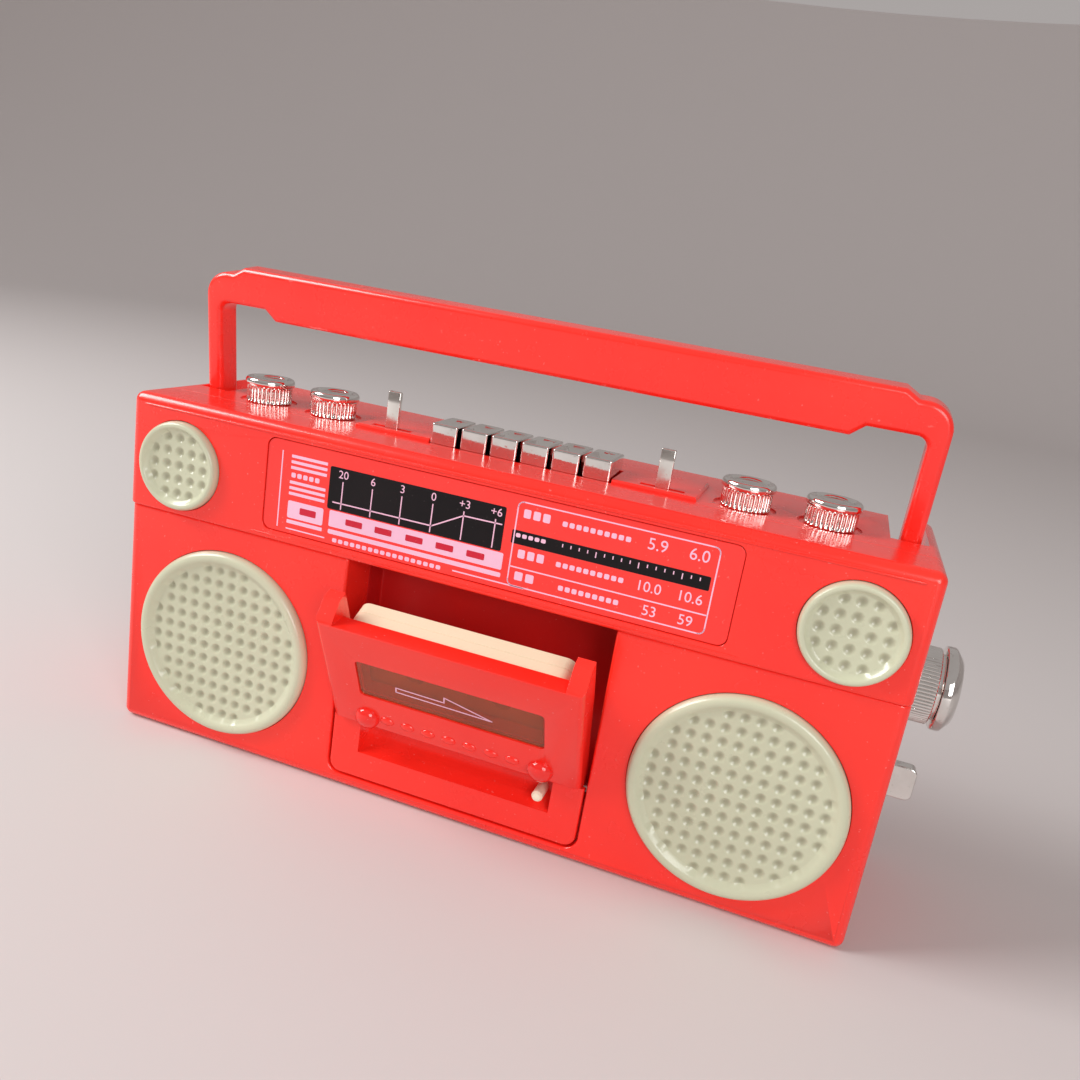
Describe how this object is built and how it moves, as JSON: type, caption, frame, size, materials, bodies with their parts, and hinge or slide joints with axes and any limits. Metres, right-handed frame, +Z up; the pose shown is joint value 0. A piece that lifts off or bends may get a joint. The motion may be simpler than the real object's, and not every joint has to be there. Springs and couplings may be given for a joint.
{
  "type": "cassette player",
  "caption": "Miniature portable cassette player with a fold-down handle, tilting tape door, lift-out cassette, press keys, turning knobs and magnets in the back.",
  "frame": {"origin": "middle of the base, on the surface it stands on", "axes": "+X to the right along the width, front faces -Y, back faces +Y, +Z up"},
  "size_m": [0.0739, 0.0236, 0.0444],
  "materials": {
    "case_red": "gloss",
    "scale_print": "printed gloss",
    "grille_cream": "gloss",
    "screw_steel": "bright",
    "magnet_dark": "satin",
    "sill_red": "gloss",
    "peg_cream": "gloss",
    "well_red": "satin",
    "door_red": "gloss",
    "window_smoked": "smoked gloss",
    "boss_red": "gloss",
    "cassette_cream": "satin",
    "hub_white": "satin",
    "inner_red": "satin",
    "key_chrome": "mirror",
    "spring_steel": "bright",
    "knob_chrome": "mirror",
    "lever_chrome": "mirror",
    "tuning_chrome": "mirror",
    "tab_chrome": "mirror",
    "handle_red": "gloss"
  },
  "bodies": {
    "case": {"lower_front": "case_red", "control_panel": "case_red", "scale_plate": "scale_print", "rear_shell": "case_red", "top_deck": "case_red", "woofer_grille_left": "grille_cream", "woofer_grille_right": "grille_cream", "tweeter_grille_left": "grille_cream", "tweeter_grille_right": "grille_cream", "case_screws": "screw_steel", "back_magnets": "magnet_dark", "sill_panel": "sill_red", "sill_peg": "peg_cream", "cassette_well": "well_red", "door_hinge_pins": "screw_steel", "key_guide": "inner_red", "key_spring_1": "spring_steel", "key_spring_2": "spring_steel", "key_spring_3": "spring_steel", "key_spring_4": "spring_steel", "key_spring_5": "spring_steel", "key_spring_6": "spring_steel", "slider_rail_left": "inner_red", "slider_rail_right": "inner_red", "slide_tab_rail": "inner_red", "handle_pivot_pins": "screw_steel"},
    "handle": {"handle": "handle_red"},
    "tape_door": {"door_frame": "door_red", "door_window": "window_smoked", "door_bosses": "boss_red"},
    "cassette": {"cassette_front_half": "cassette_cream", "cassette_back_half": "cassette_cream", "cassette_hubs": "hub_white"},
    "key_1": {"key_1": "key_chrome"},
    "key_2": {"key_2": "key_chrome"},
    "key_3": {"key_3": "key_chrome"},
    "key_4": {"key_4": "key_chrome"},
    "key_5": {"key_5": "key_chrome"},
    "key_6": {"key_6": "key_chrome"},
    "knob_1": {"knob_1": "knob_chrome"},
    "knob_2": {"knob_2": "knob_chrome"},
    "knob_3": {"knob_3": "knob_chrome"},
    "knob_4": {"knob_4": "knob_chrome"},
    "slider_left": {"slider_left": "lever_chrome"},
    "slider_right": {"slider_right": "lever_chrome"},
    "tuning_knob": {"tuning_knob": "tuning_chrome"},
    "slide_tab": {"slide_tab": "tab_chrome"}
  },
  "joints": [
    {"name": "handle_fold", "type": "hinge", "parent": "case", "child": "handle", "pos_m": [0, 0.0008, 0.0306], "axis": [1, 0, 0], "range_deg": [-97, 0]},
    {"name": "door_tilt", "type": "hinge", "parent": "case", "child": "tape_door", "pos_m": [0, -0.0076, 0.0066], "axis": [1, 0, 0], "range_deg": [-26, 0]},
    {"name": "cassette_lift", "type": "slide", "parent": "tape_door", "child": "cassette", "axis": [0, -0.4384, 0.8988], "range_m": [0, 0.013]},
    {"name": "key_1_press", "type": "slide", "parent": "case", "child": "key_1", "axis": [0, 0, -1], "range_m": [0, 0.0008], "stiffness_N_per_m": 150, "deforming": ["key_spring_1"]},
    {"name": "key_2_press", "type": "slide", "parent": "case", "child": "key_2", "axis": [0, 0, -1], "range_m": [0, 0.0008], "stiffness_N_per_m": 150, "deforming": ["key_spring_2"]},
    {"name": "key_3_press", "type": "slide", "parent": "case", "child": "key_3", "axis": [0, 0, -1], "range_m": [0, 0.0008], "stiffness_N_per_m": 150, "deforming": ["key_spring_3"]},
    {"name": "key_4_press", "type": "slide", "parent": "case", "child": "key_4", "axis": [0, 0, -1], "range_m": [0, 0.0008], "stiffness_N_per_m": 150, "deforming": ["key_spring_4"]},
    {"name": "key_5_press", "type": "slide", "parent": "case", "child": "key_5", "axis": [0, 0, -1], "range_m": [0, 0.0008], "stiffness_N_per_m": 150, "deforming": ["key_spring_5"]},
    {"name": "key_6_press", "type": "slide", "parent": "case", "child": "key_6", "axis": [0, 0, -1], "range_m": [0, 0.0008], "stiffness_N_per_m": 150, "deforming": ["key_spring_6"]},
    {"name": "knob_1_turn", "type": "hinge", "parent": "case", "child": "knob_1", "pos_m": [-0.0262, -0.0012, 0.0324], "axis": [0, 0, 1], "range_deg": [-150, 150]},
    {"name": "knob_2_turn", "type": "hinge", "parent": "case", "child": "knob_2", "pos_m": [-0.0193, -0.0012, 0.0324], "axis": [0, 0, 1], "range_deg": [-150, 150]},
    {"name": "knob_3_turn", "type": "hinge", "parent": "case", "child": "knob_3", "pos_m": [0.0193, -0.0012, 0.0324], "axis": [0, 0, 1], "range_deg": [-150, 150]},
    {"name": "knob_4_turn", "type": "hinge", "parent": "case", "child": "knob_4", "pos_m": [0.0262, -0.0012, 0.0324], "axis": [0, 0, 1], "range_deg": [-150, 150]},
    {"name": "slider_left_move", "type": "slide", "parent": "case", "child": "slider_left", "axis": [1, 0, 0], "range_m": [-0.0012, 0.0012]},
    {"name": "slider_right_move", "type": "slide", "parent": "case", "child": "slider_right", "axis": [1, 0, 0], "range_m": [-0.0012, 0.0012]},
    {"name": "tuning_knob_turn", "type": "hinge", "parent": "case", "child": "tuning_knob", "pos_m": [0.035, -0.0005, 0.021], "axis": [1, 0, 0], "continuous": true},
    {"name": "slide_tab_move", "type": "slide", "parent": "case", "child": "slide_tab", "axis": [0, 1, 0], "range_m": [-0.0012, 0.0012]}
  ]
}
